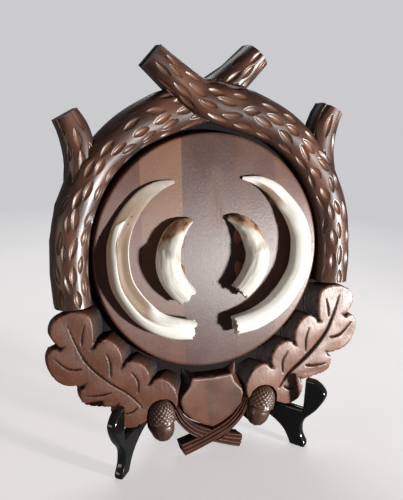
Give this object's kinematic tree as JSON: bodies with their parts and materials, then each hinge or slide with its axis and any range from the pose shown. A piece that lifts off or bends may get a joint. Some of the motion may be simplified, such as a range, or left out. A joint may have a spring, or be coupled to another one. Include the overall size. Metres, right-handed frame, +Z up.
{
  "type": "boar tusk trophy plaque on a folding stand",
  "caption": "Oval carved wooden plaque with a round field, bark-covered branches, oak leaves, acorns and a blank shield, carrying curved tusks, on a black folding stand.",
  "frame": {"origin": "middle of the outline seen from above, on the surface that the stand's feet touch", "axes": "+Z up, the carved front faces -Y, +X to the right of someone facing it"},
  "size_m": [0.2828, 0.114, 0.3518],
  "materials": {
    "bark": "gloss",
    "leaf": "satin",
    "acorn": "gloss",
    "field": "satin",
    "ground": "gloss",
    "ivory": "satin",
    "putty": "matte",
    "black_lacquer": "gloss",
    "brass": "satin"
  },
  "bodies": {
    "stand_left": {"hinge_screw_left_lower": "brass", "hinge_screw_left_upper": "brass", "stand_board_left": "black_lacquer", "hinge_leaf_left": "brass", "hinge_pin": "brass"},
    "stand_right": {"hinge_screw_right_lower": "brass", "hinge_screw_right_upper": "brass", "stand_board_right": "black_lacquer", "hinge_leaf_right": "brass"},
    "plaque": {"branch_left": "bark", "branch_right": "bark", "acorn_cup_left": "acorn", "acorn_nut_left": "acorn", "acorn_cup_right": "acorn", "acorn_nut_right": "acorn", "shield": "leaf", "leaf_left": "leaf", "leaf_right": "leaf", "stem_left": "leaf", "stem_right": "leaf", "field_stave_far_left": "field", "field_stave_left": "field", "field_stave_centre": "field", "field_stave_right": "field", "field_stave_far_right": "field", "tusk_large_left": "ivory", "putty_large_left_tip": "putty", "putty_large_left_root": "putty", "tusk_large_right": "ivory", "putty_large_right_tip": "putty", "putty_large_right_root": "putty", "tusk_small_left": "ivory", "putty_small_left_tip": "putty", "putty_small_left_root": "putty", "tusk_small_right": "ivory", "putty_small_right_tip": "putty", "putty_small_right_root": "putty", "hanger_screw_upper": "brass", "hanger_screw_lower": "brass", "hanger_strap": "brass", "backboard": "ground"},
    "hanger_ring": {"hanger_ring": "brass"}
  },
  "joints": [
    {"name": "stand_fold", "type": "hinge", "parent": "stand_left", "child": "stand_right", "pos_m": [0, 0.05457, 0.04], "axis": [0, 0, 1], "range_deg": [0, 2]},
    {"name": "plaque_lift", "type": "slide", "parent": "stand_left", "child": "plaque", "axis": [0, 0.1736, 0.9848], "range_m": [0, 0.12]},
    {"name": "ring_swing", "type": "hinge", "parent": "plaque", "child": "hanger_ring", "pos_m": [0, 0.03115, 0.27392], "axis": [1, 0, 0], "range_deg": [-10, 165]}
  ]
}
